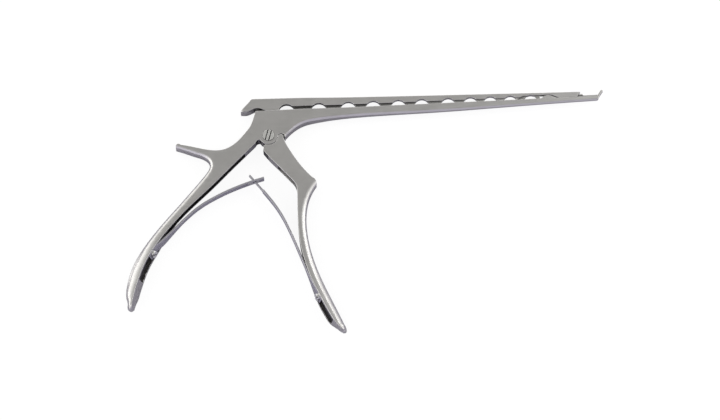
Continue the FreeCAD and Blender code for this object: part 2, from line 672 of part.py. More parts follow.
def window_outlines():
    """Return the row of arched windows, each on the sliding plane."""
    outlines = []
    centre = S.window_first
    for number, pitch in enumerate((0.0,) + WINDOW_PITCHES):
        centre += pitch
        share = number / len(WINDOW_PITCHES)
        half = (S.window_length_rear + share * (S.window_length_front - S.window_length_rear)) / 2
        rise = S.window_height_rear + share * (S.window_height_front - S.window_height_rear)
        outlines.append(Outline(centre - half, SLIDE_Y - 0.1)
                        .arc(centre, SLIDE_Y + rise, centre + half, SLIDE_Y - 0.1).close())
    return outlines


def make_sliding_shaft():
    """Build the upper shaft that the trigger drives forward to the footplate."""
    body = new_body("sliding_shaft")
    sketch = new_sketch(body, "SlideOutline", [slide_outline()],
                        bound=[("DistanceX", 0, 1, S.slide_front, "Sizes.slide_front")])
    pad(body, "SlideBlank", sketch, "Sizes.body_thickness")

    plan = shaft_plan(S.slide_inset)
    plan_trim(body, "SlideTaper", plan, FOOT_BASE, S.body_thickness)
    root = plan[0][1]
    tail = [(-S.slide_tail_back - 0.2, root - 0.9), (-S.slide_tail_back + 0.6, root - 0.3),
            (-S.slide_tail_back + 1.6, root - 0.05), (-S.slide_tail_back + 2.6, root)]
    plan_trim(body, "SlideSides", tail, plan[0][0], S.body_thickness)
    nose_x = -S.jaw_opening / 2

    pocket(body, "Windows", new_sketch(body, "WindowsSketch", window_outlines()))
    opening_back = S.lug_front - S.lug_length - S.jaw_opening - 5 * S.lug_clearance
    roof = RAIL_Y + S.lug_height + S.lug_clearance
    opening = Outline(opening_back, SLIDE_Y - 0.1)
    opening.curve([(opening_back + 1.5, roof - 0.9), (opening_back + 4.0, roof)])
    opening.line(S.lug_front - 0.5 * S.lug_length, roof)
    opening.curve([(S.lug_front - 0.33 * S.lug_length, roof - 0.35), (S.lug_front - 0.1 * S.lug_length, roof - 1.45),
                   (S.lug_front + S.lug_clearance + 0.3, SLIDE_Y - 0.1)]).close()
    side_pockets(body, "LugRecess", [opening], "Sizes.lug_web")

    web = Outline(S.window_first, SLIDE_Y - 0.1).line(opening_back + 3.0, SLIDE_Y - 0.1)
    web.line(opening_back + 3.0, SLIDE_Y + S.web_height_front)
    web.line(S.window_first, SLIDE_Y + S.web_height_rear).close()
    side_pockets(body, "Web", [web], "Sizes.web_width")

    half = S.nose_radius + S.nose_clearance
    shoulder = S.nose_reach * math.cos(math.radians(HALF_SWING)) - 1.0
    flare = half + 0.73 * (shoulder - SLIDE_Y + 1.0)
    ceiling = S.nose_reach + S.nose_radius + 0.3
    nose = Outline(nose_x - half, ceiling).line(nose_x + half, ceiling).line(nose_x + half, shoulder)
    nose.line(nose_x + flare, SLIDE_Y - 1.0).line(nose_x - flare, SLIDE_Y - 1.0).line(nose_x - half, shoulder)
    central_pocket(body, "NosePocket", [nose.close()], "Sizes.slot_width")

    neck_foot = RAIL_Y - S.guide_neck_height
    guide_end = S.guide_start + S.guide_length
    central_pad(body, "GuideNeck", [rectangle(S.guide_start, neck_foot, guide_end, SLIDE_Y + 0.5)],
                "Sizes.guide_neck_width")
    central_pad(body, "GuideHead", [rectangle(S.guide_start, neck_foot - S.guide_head_height, guide_end, neck_foot)],
                "Sizes.guide_head_width")
    slot_from = S.slide_front - S.rail_back - S.jaw_opening - S.lug_clearance
    slot_to = FOOT_BASE
    neck_top = RAIL_Y + S.rail_neck_height
    central_pocket(body, "RailSlot", [rectangle(slot_from, SLIDE_Y - 0.1, slot_to, neck_top)],
                   "Sizes.rail_neck_width + 2 * Sizes.rail_clearance")
    central_pocket(body, "RailChamber", [rectangle(slot_from, neck_top - S.rail_clearance, slot_to,
                                                   neck_top + S.rail_head_height + S.rail_clearance)],
                   "Sizes.rail_head_width + 2 * Sizes.rail_clearance")
    return finish(body)


def trigger_outline():
    """Return the side outline of the trigger handle, below the frame's lobe."""
    radius = S.lobe_radius + S.lobe_gap
    outline = Outline(*polar(radius, -112.0)).arc(*polar(radius, -64.0), *polar(radius, -16.0))
    outline.arc(7.6, 0.2, 8.9, -1.9)
    outline.arcs(TRIGGER_FRONT)
    outline.arc(*TRIGGER_KNEE[0], *TRIGGER_KNEE[1])
    outline.arcs(TRIGGER_FINGERS)
    outline.arc(*TRIGGER_END[0], *TRIGGER_END[1])
    outline.arcs(TRIGGER_INNER)
    outline.arc(-3.45, -8.0, -2.9, -6.6)
    return outline.close()


def tang_outline():
    """Return the trigger's central tang: a boss on the pivot that tapers up to a necked nose."""
    lean = math.radians(90.0 + HALF_SWING)
    reach, boss = S.nose_reach, S.tang_boss_radius

    def across(along, side):
        return (along * math.cos(lean) - side * math.sin(lean), along * math.sin(lean) + side * math.cos(lean))

    neck = S.tang_neck_width / 2
    under_nose = reach - math.sqrt(S.nose_radius ** 2 - neck ** 2)
    shoulder = (boss * math.cos(math.radians(70.0)), boss * math.sin(math.radians(70.0)))
    outline = Outline(*across(shoulder[0], -shoulder[1])).line(*across(reach - 3.0, -neck))
    outline.line(*across(under_nose, -neck))
    outline.arc(*across(reach + S.nose_radius, 0), *across(under_nose, neck))
    outline.line(*across(reach - 3.0, neck)).line(*across(shoulder[0], shoulder[1]))
    outline.arc(*polar(boss, 216.0), *polar(boss, 245.0)).line(-1.4, -9.3).line(7.0, -6.6)
    return outline.line(*polar(boss, -25.0)).arc(*polar(boss, 2.0), *across(shoulder[0], -shoulder[1]))


def make_trigger():
    """Build the trigger handle with the tang that reaches up into the sliding shaft."""
    body = new_body("trigger_handle")
    blank = pad(body, "TriggerBlank", new_sketch(body, "TriggerOutline", [trigger_outline()]),
                "Sizes.body_thickness")
    fingers = spline_through([TRIGGER_KNEE[1]] + TRIGGER_FINGERS)
    faces = (0.0, S.body_thickness)
    round_edges(body, "FingerRounding", rims(blank.Shape, [fingers], faces), "Sizes.finger_radius")
    round_edges(body, "InnerRoundingTrigger", rims(body.Shape, [trigger_inner], faces), "Sizes.inner_radius")
    central_pad(body, "Tang", [tang_outline()], "Sizes.tang_thickness")
    radius = S.pivot_diameter / 2 + S.pivot_clearance
    hole = new_sketch(body, "TriggerHoleSketch", [circle(0, 0, radius)],
                      bound=[("Radius", 0, 0, radius, "Sizes.pivot_diameter / 2 + Sizes.pivot_clearance")])
    pocket(body, "TriggerHole", hole)
    round_end(body, "TriggerEnd", TRIGGER_END[0], TRIGGER_FINGERS[-2])
    central_pocket(body, "FrontGroove", [groove_outline(trigger_inner, -1, 0.07, 0.9)], "Sizes.groove_width")
    central_pocket(body, "FrontSeat", [seat_outline(FRONT_SEAT)], "Sizes.groove_width")
    spring_hole(body, "FrontSpringHole", FRONT_SEAT, 1.0, "Sizes.seat_depth + 1 + Sizes.spring_screw_length + 0.2",
                S.thread_clearance)
    return finish(body)


def make_pivot_screw():
    """Build the pivot screw, with the two slots in its head."""
    body = new_body("pivot_screw")
    shank = new_sketch(body, "ShankSketch", [circle(0, 0, S.pivot_diameter / 2)],
                       bound=[("Radius", 0, 0, S.pivot_diameter / 2, "Sizes.pivot_diameter / 2")])
    pad(body, "Shank", shank, "Sizes.body_thickness - Sizes.pivot_head_sunk")
    head = new_sketch(body, "HeadSketch", [circle(0, 0, S.pivot_head_diameter / 2)],
                      height="Sizes.body_thickness - Sizes.pivot_head_sunk",
                      bound=[("Radius", 0, 0, S.pivot_head_diameter / 2, "Sizes.pivot_head_diameter / 2")])
    pad(body, "Head", head, "Sizes.pivot_head_sunk + Sizes.pivot_head_proud")
    turn = math.radians(S.driver_slot_angle)
    along, across = V(math.cos(turn), math.sin(turn), 0), V(-math.sin(turn), math.cos(turn), 0)
    slots = []
    for side in (-1, 1):
        centre = across * (side * S.driver_slot_spacing / 2)
        corners = [centre + along * (a * S.pivot_head_diameter) + across * (c * S.driver_slot_width / 2)
                   for a, c in ((-1, -1), (1, -1), (1, 1), (-1, 1))]
        slot = Outline(corners[0].x, corners[0].y)
        for corner in corners[1:]:
            slot.line(corner.x, corner.y)
        slots.append(slot.close())
    sketch = new_sketch(body, "DriverSlotsSketch", slots,
                        height="Sizes.body_thickness + Sizes.pivot_head_proud")
    pocket(body, "DriverSlots", sketch, "Sizes.driver_slot_depth", upward=False)
    return finish(body)


def make_spring(name, seat, path):
    """Build a leaf spring from its side outline."""
    body = new_body(name)
    central_pad(body, name + "Blade", [spring_ribbon(seat, path)], "Sizes.spring_width")
    spring_hole(body, name + "Hole", seat, 2.0, "Sizes.seat_depth + 2.5", S.thread_clearance)
    return body


def make_rear_spring():
    """Build the rear spring, with the slot that the front spring's tongue passes through."""
    body = make_spring("rear_spring", REAR_SEAT, REAR_SPRING)
    middle = S.body_thickness / 2
    half = S.tongue_width / 2 + S.tongue_clearance
    slot = rectangle(-13.6, middle - half, -6.6, middle + half)
    pocket(body, "TongueSlot", new_sketch(body, "TongueSlotSketch", [slot], plane="XZ_Plane"))
    return finish(body)


def make_front_spring():
    """Build the front spring, with the narrow tongue at its upper end."""
    body = make_spring("front_spring", FRONT_SEAT, FRONT_SPRING)
    beside = Outline(-20.0, -33.5).line(-3.0, -33.5).line(-3.0, -18.0).line(-20.0, -18.0).close()
    side_pockets(body, "Tongue", [beside], "Sizes.tongue_width")
    return finish(body)


def make_spring_screw(name, seat):
    """Build a spring screw on its own Z axis and set it on its seat."""
    body = new_body(name)
    radius = S.spring_screw_diameter / 2
    below = S.spring_thickness + S.spring_screw_length
    shank = new_sketch(body, name + "ShankSketch", [circle(0, 0, radius)],
                       bound=[("Radius", 0, 0, radius, "Sizes.spring_screw_diameter / 2")])
    pad(body, name + "Shank", shank, "Sizes.spring_thickness + Sizes.spring_screw_length")
    head_radius = S.spring_head_diameter / 2
    head = new_sketch(body, name + "HeadSketch", [circle(0, 0, head_radius)],
                      height="Sizes.spring_thickness + Sizes.spring_screw_length",
                      bound=[("Radius", 0, 0, head_radius, "Sizes.spring_head_diameter / 2")])
    pad(body, name + "Head", head, "Sizes.spring_head_height")
    half = S.driver_slot_width / 2
    slot = new_sketch(body, name + "SlotSketch", [rectangle(-4.0, -half, 4.0, half)],
                      height="Sizes.spring_thickness + Sizes.spring_screw_length + Sizes.spring_head_height")
    pocket(body, name + "Slot", slot, "Sizes.driver_slot_depth", upward=False)
    seat_lift = S.spring_thickness - S.seat_depth + S.seat_gap
    body.Placement = seat_placement(seat, seat_lift - below)
    return finish(body)


pieces = [
    make_fixed_shaft(),
    make_sliding_shaft(),
    make_trigger(),
    make_pivot_screw(),
    make_rear_spring(),
    make_front_spring(),
    make_spring_screw("rear_spring_screw", REAR_SEAT),
    make_spring_screw("front_spring_screw", FRONT_SEAT),
]

doc.recompute()
for item in doc.Objects:
    if "Invalid" in item.State or "Error" in item.State:
        raise RuntimeError(f"{item.Label} is {item.State}")
for piece in pieces:
    shape = piece.Shape
    print(f"{piece.Label}: {len(shape.Solids)} solid(s), {shape.Volume:.1f} cubic mm")
    shape.exportStep(f"parts/{piece.Label}.step")
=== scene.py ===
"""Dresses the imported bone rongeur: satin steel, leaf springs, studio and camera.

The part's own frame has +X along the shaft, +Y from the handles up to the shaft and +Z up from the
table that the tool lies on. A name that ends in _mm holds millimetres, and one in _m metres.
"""

import logging
import math
from dataclasses import dataclass, field
from enum import Enum

import bmesh
import bpy
from mathutils import Matrix, Vector


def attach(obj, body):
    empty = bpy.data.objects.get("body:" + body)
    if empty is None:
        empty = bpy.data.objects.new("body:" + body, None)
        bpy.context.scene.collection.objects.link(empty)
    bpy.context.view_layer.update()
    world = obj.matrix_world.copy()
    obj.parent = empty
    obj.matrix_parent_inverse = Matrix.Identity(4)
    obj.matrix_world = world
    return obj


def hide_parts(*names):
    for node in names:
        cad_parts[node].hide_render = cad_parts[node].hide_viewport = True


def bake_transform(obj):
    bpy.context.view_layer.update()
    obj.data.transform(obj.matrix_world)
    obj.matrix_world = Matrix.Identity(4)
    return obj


LOG = logging.getLogger("rongeur")
MM = 0.001
# The face attribute that is 1 where a face lies too deep for light to reach, and so gets near-black
# painted shade.
RECESS = "recess"
# The numbers of a colour Mix node's two colour inputs and of its output.
MIX_A, MIX_B, MIX_OUT = 6, 7, 2
# A Map Range node's inputs, and the range in which most of a noise's values lie.
RANGE = ("From Min", "From Max", "To Min", "To Max")
NOISE = (0.3, 0.7)

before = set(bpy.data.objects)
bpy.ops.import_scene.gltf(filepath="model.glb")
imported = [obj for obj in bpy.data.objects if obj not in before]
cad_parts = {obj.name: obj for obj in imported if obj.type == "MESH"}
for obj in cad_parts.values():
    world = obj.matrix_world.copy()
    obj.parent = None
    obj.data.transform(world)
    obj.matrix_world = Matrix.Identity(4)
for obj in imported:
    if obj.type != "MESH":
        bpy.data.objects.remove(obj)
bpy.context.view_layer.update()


class Body(Enum):
    """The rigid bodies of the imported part."""

    FRAME = "frame"
    TRIGGER = "trigger"
    SLIDE = "slide"


class Slot(Enum):
    """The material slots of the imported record."""

    SATIN = "satin_steel"
    SCREW = "bright_screw"
    SPRING = "spring_steel"


def linear(hex_colour: str) -> tuple[float, float, float, float]:
    """Turn an sRGB hex colour into linear light.

    Args:
        hex_colour: six hex digits after a hash sign.

    Returns:
        Red, green, blue and an alpha of 1.
    """
    def channel(text: str) -> float:
        """Turn one pair of hex digits into linear light."""
        value = int(text, 16) / 255
        return value / 12.92 if value <= 0.04045 else ((value + 0.055) / 1.055) ** 2.4

    digits = hex_colour.lstrip("#")
    return channel(digits[0:2]), channel(digits[2:4]), channel(digits[4:6]), 1.0


def emptied_tree(owner: bpy.types.ID) -> bpy.types.NodeTree:
    """Give a material or a world nodes of its own, with none in it yet.

    Args:
        owner: the material or world.

    Returns:
        Its empty node tree.
    """
    owner.use_nodes = True
    owner.node_tree.nodes.clear()
    return owner.node_tree


def add_node(tree: bpy.types.NodeTree, kind: str, links: dict | None = None,
             values: dict | None = None, **settings: object) -> bpy.types.Node:
    """Add a node, set it up and link its inputs.

    Args:
        tree: the node tree that gets the node.
        kind: the node's type name in Blender.
        links: input name or number to the output socket that feeds it.
        values: input name or number to its constant value.
        settings: the node's own attributes.

    Returns:
        The new node.
    """
    node = tree.nodes.new(kind)
    for name, value in settings.items():
        setattr(node, name, value)
    for key, value in (values or {}).items():
        node.inputs[key].default_value = value
    for key, socket in (links or {}).items():
        tree.links.new(socket, node.inputs[key])
    return node


def mesh_of(shape: bmesh.types.BMesh, name: str) -> bpy.types.Mesh:
    """Turn a shape that is done into a mesh, and free the shape.

    Args:
        shape: the shape.
        name: the mesh's name.

    Returns:
        The mesh.
    """
    mesh = bpy.data.meshes.new(name)
    shape.to_mesh(mesh)
    shape.free()
    return mesh


def placed(name: str, data: bpy.types.ID) -> bpy.types.Object:
    """Put a new object into the scene.

    Args:
        name: the object's name.
        data: its mesh, lamp or camera.

    Returns:
        The object.
    """
    made = bpy.data.objects.new(name, data)
    bpy.context.scene.collection.objects.link(made)
    return made


@dataclass(frozen=True)
class Steel:
    """A stainless steel finish: blasted or brushed faces, polished edges with a painted highlight,
    and painted shade in the corners and on faces too deep for light.

    The grain of a 0.1 mm glass bead is too fine to show at this size, so grain_mm draws it coarser.
    The likeness pair says how like the rounded normal is to the true one where an edge starts to
    look polished, with a painted highlight, and where it is wholly so. corner_light says how much
    light reaches a corner where its painted shade is darkest and where it has none.
    """

    name: str
    colour: str
    highlight_and_mottle_colour: str
    corner_shade_colour: str
    roughness: float
    edge_roughness: float
    grain_mm: float = 0.45
    grain_height_mm: float = 0.0025
    grain_strength: float = 0.6
    streak_mm: tuple[float, float, float] = (14.0, 0.35, 0.35)
    streak_depth: float = 0.05
    mottle_mm: float = 9.0
    mottle_share: float = 0.12
    edge_mm: float = 0.35
    edge_samples: int = 6
    polish_and_highlight_likeness: tuple[float, float] = (0.97, 0.84)
    corner_mm: float = 2.2
    corner_samples: int = 8
    corner_light: tuple[float, float] = (0.30, 0.92)
    recess_shade_colour: str = "#211F1E"
    recess_shade_strength: float = 0.93

    def material(self) -> bpy.types.Material:
        """Build the finish as a node material.

        Returns:
            The material.
        """
        made = bpy.data.materials.new(self.name)
        tree = emptied_tree(made)
        place = add_node(tree, "ShaderNodeTexCoord").outputs["Object"]
        rounded = add_node(tree, "ShaderNodeBevel", values={"Radius": self.edge_mm * MM},
                           samples=self.edge_samples).outputs["Normal"]
        polish_and_highlight = self.polish_and_highlight_share(tree, rounded)
        grain = add_node(tree, "ShaderNodeTexNoise", {"Vector": place}, {
            "Scale": 1 / (self.grain_mm * MM), "Detail": 3.0, "Roughness": 0.6})
        bump = add_node(tree, "ShaderNodeBump", {
            "Height": grain.outputs["Fac"], "Normal": rounded}, {
            "Strength": self.grain_strength, "Distance": self.grain_height_mm * MM})
        shader = add_node(tree, "ShaderNodeBsdfPrincipled", {
            "Base Color": self.face_colour(tree, place, polish_and_highlight),
            "Roughness": self.face_roughness(tree, place, polish_and_highlight),
            "Normal": bump.outputs["Normal"]}, {"Metallic": 1.0})
        add_node(tree, "ShaderNodeOutputMaterial", {"Surface": shader.outputs["BSDF"]})
        return made

    def polish_and_highlight_share(self, tree: bpy.types.NodeTree,
                   rounded: bpy.types.NodeSocket) -> bpy.types.NodeSocket:
        """Find the edges that handling has polished, which also get a painted highlight.

        Args:
            tree: the material's nodes.
            rounded: the normal as it is where the edges are rounded.

        Returns:
            The share of polish and painted highlight, from 0 on a face to 1 on an edge.
        """
        true_normal = add_node(tree, "ShaderNodeNewGeometry").outputs["Normal"]
        likeness = add_node(tree, "ShaderNodeVectorMath", {0: rounded, 1: true_normal},
                            operation="DOT_PRODUCT")
        return add_node(tree, "ShaderNodeMapRange", {"Value": likeness.outputs["Value"]},
                        dict(zip(RANGE, (*self.polish_and_highlight_likeness, 0.0, 1.0))),
                        interpolation_type="SMOOTHSTEP").outputs["Result"]

    def face_colour(self, tree: bpy.types.NodeTree, place: bpy.types.NodeSocket,
                    polish_and_highlight: bpy.types.NodeSocket) -> bpy.types.NodeSocket:
        """Colour the mottled faces, paint a highlight on the polished edges, and paint shade in the
        corners and on what lies deep.

        Args:
            tree: the material's nodes.
            place: the place on the piece.
            polish_and_highlight: the share of polish and painted highlight.

        Returns:
            The colour.
        """
        mottle = add_node(tree, "ShaderNodeTexNoise", {"Vector": place}, {
            "Scale": 1 / (self.mottle_mm * MM), "Detail": 2.0, "Roughness": 0.5})
        tone = add_node(tree, "ShaderNodeMapRange", {"Value": mottle.outputs["Fac"]},
                        dict(zip(RANGE, (*NOISE, 0.0, self.mottle_share))),
                        interpolation_type="SMOOTHSTEP")
        light = add_node(tree, "ShaderNodeAmbientOcclusion", values={
            "Distance": self.corner_mm * MM}, samples=self.corner_samples, only_local=False)
        corner = add_node(tree, "ShaderNodeMapRange", {"Value": light.outputs["AO"]},
                          dict(zip(RANGE, (*self.corner_light, 1.0, 0.0))),
                          interpolation_type="SMOOTHSTEP")
        sunk = add_node(tree, "ShaderNodeAttribute", attribute_name=RECESS,
                        attribute_type="GEOMETRY")
        deep = add_node(tree, "ShaderNodeMath", {0: sunk.outputs["Fac"]},
                        {1: self.recess_shade_strength}, operation="MULTIPLY")
        colour = add_node(tree, "ShaderNodeMix", {0: tone.outputs["Result"]}, {
            MIX_A: linear(self.colour), MIX_B: linear(self.highlight_and_mottle_colour)}, data_type="RGBA")
        # Over the mottle: a painted highlight on the polished edges, painted shade in the corners,
        # and near-black painted shade on the faces marked as too deep for light.
        for share, over in ((polish_and_highlight, self.highlight_and_mottle_colour),
                            (corner.outputs["Result"], self.corner_shade_colour),
                            (deep.outputs["Value"], self.recess_shade_colour)):
            colour = add_node(tree, "ShaderNodeMix", {0: share, MIX_A: colour.outputs[MIX_OUT]},
                              {MIX_B: linear(over)}, data_type="RGBA")
        return colour.outputs[MIX_OUT]

    def face_roughness(self, tree: bpy.types.NodeTree, place: bpy.types.NodeSocket,
                       polish_and_highlight: bpy.types.NodeSocket) -> bpy.types.NodeSocket:
        """Vary the roughness in streaks along the faces, and smooth the polished edges.

        Args:
            tree: the material's nodes.
            place: the place on the piece.
            polish_and_highlight: the share of polish and painted highlight.

        Returns:
            The roughness.
        """
        stretched = add_node(tree, "ShaderNodeMapping", {"Vector": place}, {
            "Scale": tuple(1 / (size * MM) for size in self.streak_mm)})
        streaks = add_node(tree, "ShaderNodeTexNoise", {"Vector": stretched.outputs["Vector"]}, {
            "Scale": 1.0, "Detail": 4.0, "Roughness": 0.65})
        low, high = self.roughness - self.streak_depth, self.roughness + self.streak_depth
        faces = add_node(tree, "ShaderNodeMapRange", {"Value": streaks.outputs["Fac"]},
                         dict(zip(RANGE, (*NOISE, low, high))), interpolation_type="SMOOTHSTEP")
        return add_node(tree, "ShaderNodeMix", {0: polish_and_highlight, 2: faces.outputs["Result"]},
                        {3: self.edge_roughness}).outputs[0]


# Forged 420 stainless steel, bead-blasted to a satin: an even mid grey with soft, wide highlights.
SATIN_STEEL = Steel(
    name="satin_420_stainless", colour="#BEBDBB", highlight_and_mottle_colour="#E4E3E2", corner_shade_colour="#4E4D4B",
    roughness=0.36, edge_roughness=0.22)
# Turned 303 stainless steel, fine-brushed: brighter and sharper than the blasted faces round it.
BRIGHT_STEEL = Steel(
    name="turned_303_stainless", colour="#E6E6E3", highlight_and_mottle_colour="#EFEFED", corner_shade_colour="#4A4844",
    roughness=0.30, edge_roughness=0.24, streak_mm=(2.0, 0.25, 0.25), grain_height_mm=0.001,
    edge_mm=0.12, corner_mm=0.8)
# Rolled 301 spring strip, tumble-polished: a cool grey with long clean reflections.
SPRING_STEEL = Steel(
    name="polished_301_spring_strip", colour="#BAB9BF", highlight_and_mottle_colour="#DCDCE0",
    corner_shade_colour="#45444A", roughness=0.28, edge_roughness=0.20, streak_mm=(6.0, 6.0, 0.8),
    grain_height_mm=0.0, edge_mm=0.05, corner_mm=1.2)


class Finishes:
    """The materials of the tool, each built once."""

    def __init__(self) -> None:
        """Build a material for each slot of the record."""
        self.by_slot = {
            Slot.SATIN: SATIN_STEEL.material(),
            Slot.SCREW: BRIGHT_STEEL.material(),
            Slot.SPRING: SPRING_STEEL.material(),
        }

    def dress(self, piece: bpy.types.Object, slot: Slot) -> None:
        """Give a piece the one finish of a slot.

        Args:
            piece: the mesh object.
            slot: the record's slot that the finish stands for.
        """
        piece.data.materials.clear()
        piece.data.materials.append(self.by_slot[slot])


def smooth_share(value: float, span: tuple[float, float]) -> float:
    """Find how far a value has gone through a span, eased at both ends.

    Args:
        value: the value.
        span: the value that gives 0 and the one that gives 1.

    Returns:
        The share, from 0 to 1.
    """
    share = min(max((value - span[0]) / (span[1] - span[0]), 0.0), 1.0)
    return share * share * (3 - 2 * share)


def between(before: Vector, start: Vector, stop: Vector, after: Vector, share: float) -> Vector:
    """Find a point of a smooth curve through four points.

    Args:
        before: the point before the stretch.
        start: the stretch's first point.
        stop: the stretch's last point.
        after: the point after the stretch.
        share: how far along the stretch, from 0 to 1.

    Returns:
        The point.
    """
    squared, cubed = share ** 2, share ** 3
    return 0.5 * (2 * start + (stop - before) * share
                  + (2 * before - 5 * start + 4 * stop - after) * squared
                  + (3 * start - before - 3 * stop + after) * cubed)


def smooth_line(path_mm: list[tuple[float, float]], steps: int) -> list[Vector]:
    """Draw a smooth line through points of the side view.

    Args:
        path_mm: the points.
        steps: how many stretches each gap between two points gets.

    Returns:
        The line's points, in millimetres.
    """
    points = [Vector((x, y, 0)) for x, y in path_mm]
    ends = [points[0] * 2 - points[1], *points, points[-1] * 2 - points[-2]]
    line = [between(*four, step / steps) for four in zip(ends, ends[1:], ends[2:], ends[3:])
            for step in range(steps)]
    return [*line, points[-1]]


def running_lengths(line: list[Vector]) -> list[float]:
    """Measure along a line.

    Args:
        line: the line's points.

    Returns:
        The distance from the line's start to each point.
    """
    lengths = [0.0]
    for start, stop in zip(line, line[1:]):
        lengths.append(lengths[-1] + (stop - start).length)
    return lengths


@dataclass
class Grip:
    """The hand-dressed lower part of a handle.

    Its inner side leans towards the upper face, so that the groove shows from above. Its faces are
    crowned towards the palm, and its end is slimmed and rounded, as on a grip that was finished on
    a belt. A pair of lengths is where a change starts and where it ends: up the inner side from
    the handle's end, or into the handle where the name says depth. void_side is 1 where the gap
    between the handles lies on the right of the line up the inner side, and -1 on its left.
    end_lean is the share of the lean that is left at the end, and a slim share is what the end
    loses of its breadth on that side.
    """

    inner_mm: list[tuple[float, float]]
    void_side: int
    lean_mm: float
    lean_fade_mm: tuple[float, float]
    crown: float
    crown_fade_mm: tuple[float, float]
    breadth_mm: tuple[float, float]
    end_centre_mm: tuple[float, float]
    end_radius_mm: float
    end_lean: float
    end_lean_span_mm: tuple[float, float] = (0.0, 12.0)
    lean_depth_mm: tuple[float, float] = (0.5, 8.5)
    lean_outside_mm: tuple[float, float] = (5.0, 14.0)
    crown_depth_mm: tuple[float, float] = (11.0, 16.0)
    breadth_span_mm: tuple[float, float] = (28.0, 68.0)
    inner_slim: float = 0.50
    inner_slim_span_mm: tuple[float, float] = (0.0, 11.0)
    palm_slim: float = 0.36
    palm_slim_span_mm: tuple[float, float] = (1.5, 6.5)
    end_round_mm: float = 3.3
    end_round_fade_mm: float = 2.0
    end_round_turn: tuple[float, float] = (0.5, 0.95)
    end_core_mm: float = 0.1
    end_reach_mm: float = 7.0
    groove_from_mm: float = 9.0
    groove_half_mm: float = 3.3
    groove_depth_mm: tuple[float, float] = (0.1, 2.6)
    groove_floor: float = 0.3
    groove_wall: float = 0.5
    thickness_mm: float = 9.0
    line_steps: int = 5
    line: list[Vector] = field(init=False)
    lengths: list[float] = field(init=False)
    climb: Vector = field(init=False)

    def __post_init__(self) -> None:
        """Work out the inner side's line, its lengths and the way up from the handle's end."""
        self.line = smooth_line(self.inner_mm, self.line_steps)
        self.lengths = running_lengths(self.line)
        self.climb = (Vector((*self.inner_mm[1], 0)) - Vector((*self.inner_mm[0], 0))).normalized()

    def place(self, point: Vector) -> tuple[float, float, Vector]:
        """Find where on the handle a point lies.

        Args:
            point: the point, in millimetres.

        Returns:
            The distance up the inner side, the depth in the handle and the way out of it.
        """
        flat = Vector((point.x, point.y, 0))
        nearest, found = math.inf, (0.0, 0.0, Vector((0, 0, 0)))
        for length, start, stop in zip(self.lengths, self.line, self.line[1:]):
            along = stop - start
            share = min(max((flat - start).dot(along) / along.dot(along), 0.0), 1.0)
            away = flat - (start + along * share)
            if away.length < nearest:
                out = Vector((along.y, -along.x, 0)).normalized() * self.void_side
                nearest, found = away.length, (length + share * along.length, -away.dot(out), out)
        return found

    def dressed(self, point: Vector) -> Vector:
        """Find where the dressing moves a point to.

        Args:
            point: the point, in millimetres.

        Returns:
            The moved point, in millimetres.
        """
        up, depth, out = self.place(point)
        lean = self.lean_mm * (1 - smooth_share(up, self.lean_fade_mm))
        lean *= self.end_lean + (1 - self.end_lean) * smooth_share(up, self.end_lean_span_mm)
        lean *= 1 - point.z / self.thickness_mm
        reach = self.lean_depth_mm if depth > 0 else self.lean_outside_mm
        lean *= 1 - smooth_share(abs(depth), reach)
        narrow, wide = self.breadth_mm
        breadth = narrow + (wide - narrow) * smooth_share(up, self.breadth_span_mm)
        across = min(max(depth / breadth, 0.0), 1.0)
        crown = self.crown * (1 - smooth_share(up, self.crown_fade_mm)) * across * across
        crown *= 1 - smooth_share(depth, self.crown_depth_mm)
        moved = self.slimmed(point + out * lean, out)
        middle = self.thickness_mm / 2
        moved.z = middle + (point.z - middle) * (1 - crown) * self.end_share(point, out)
        return moved

    def from_end(self, point: Vector) -> Vector:
        """Return the way from the middle of the end's round to a point, in the side view."""
        return Vector((point.x, point.y, 0)) - Vector((*self.end_centre_mm, 0))

    def above_tip(self, point: Vector) -> float:
        """Return how far a point lies above the handle's tip, in millimetres."""
        return self.from_end(point).dot(self.climb) + self.end_radius_mm

    def slimmed(self, point: Vector, out: Vector) -> Vector:
        """Find where a point goes as the end narrows to its tip, more from the inner side.

        Args:
            point: the point, in millimetres.
            out: the way out of the inner side.

        Returns:
            The moved point, in millimetres.
        """
        beside = self.from_end(point).dot(out)
        most, span = self.palm_slim, self.palm_slim_span_mm
        if beside > 0:
            most, span = self.inner_slim, self.inner_slim_span_mm
        return point - out * (beside * most * (1 - smooth_share(self.above_tip(point), span)))

    def end_share(self, point: Vector, out: Vector) -> float:
        """Find the share of its thickness that the handle keeps at a point of its rounded end.

        Args:
            point: the point, in millimetres.
            out: the way out of the inner side.

        Returns:
            The share, which is 1 away from the end.
        """
        full = self.end_radius_mm, self.end_radius_mm + self.end_round_fade_mm
        low = 1 - smooth_share(self.above_tip(point), full)
        away = self.from_end(point)
        away -= self.climb * max(away.dot(self.climb), 0.0)
        facing = away.normalized().dot(out) if away.length > self.end_core_mm else 0.0
        turned = 1 - smooth_share(facing, self.end_round_turn)
        inward = min(max(self.end_radius_mm - away.length, 0.0), self.end_round_mm)
        short = self.end_round_mm - inward
        half = self.thickness_mm / 2
        rounded = half - self.end_round_mm + math.sqrt(self.end_round_mm ** 2 - short * short)
        return 1 - low * turned * (1 - rounded / half)

    def grooved(self, face: bmesh.types.BMFace) -> bool:
        """Say whether a face lies in the groove down the inner side, which gets near-black painted
        shade.

        Args:
            face: the face, before the dressing.

        Returns:
            True for the groove's floor and its walls.
        """
        centre = face.calc_center_median() / MM
        if abs(centre.z - self.thickness_mm / 2) > self.groove_half_mm:
            return False
        up, depth, out = self.place(centre)
        shallow, deep = self.groove_depth_mm
        return up > self.groove_from_mm and shallow < depth < deep and (
            face.normal.dot(out) > self.groove_floor or abs(face.normal.z) > self.groove_wall)


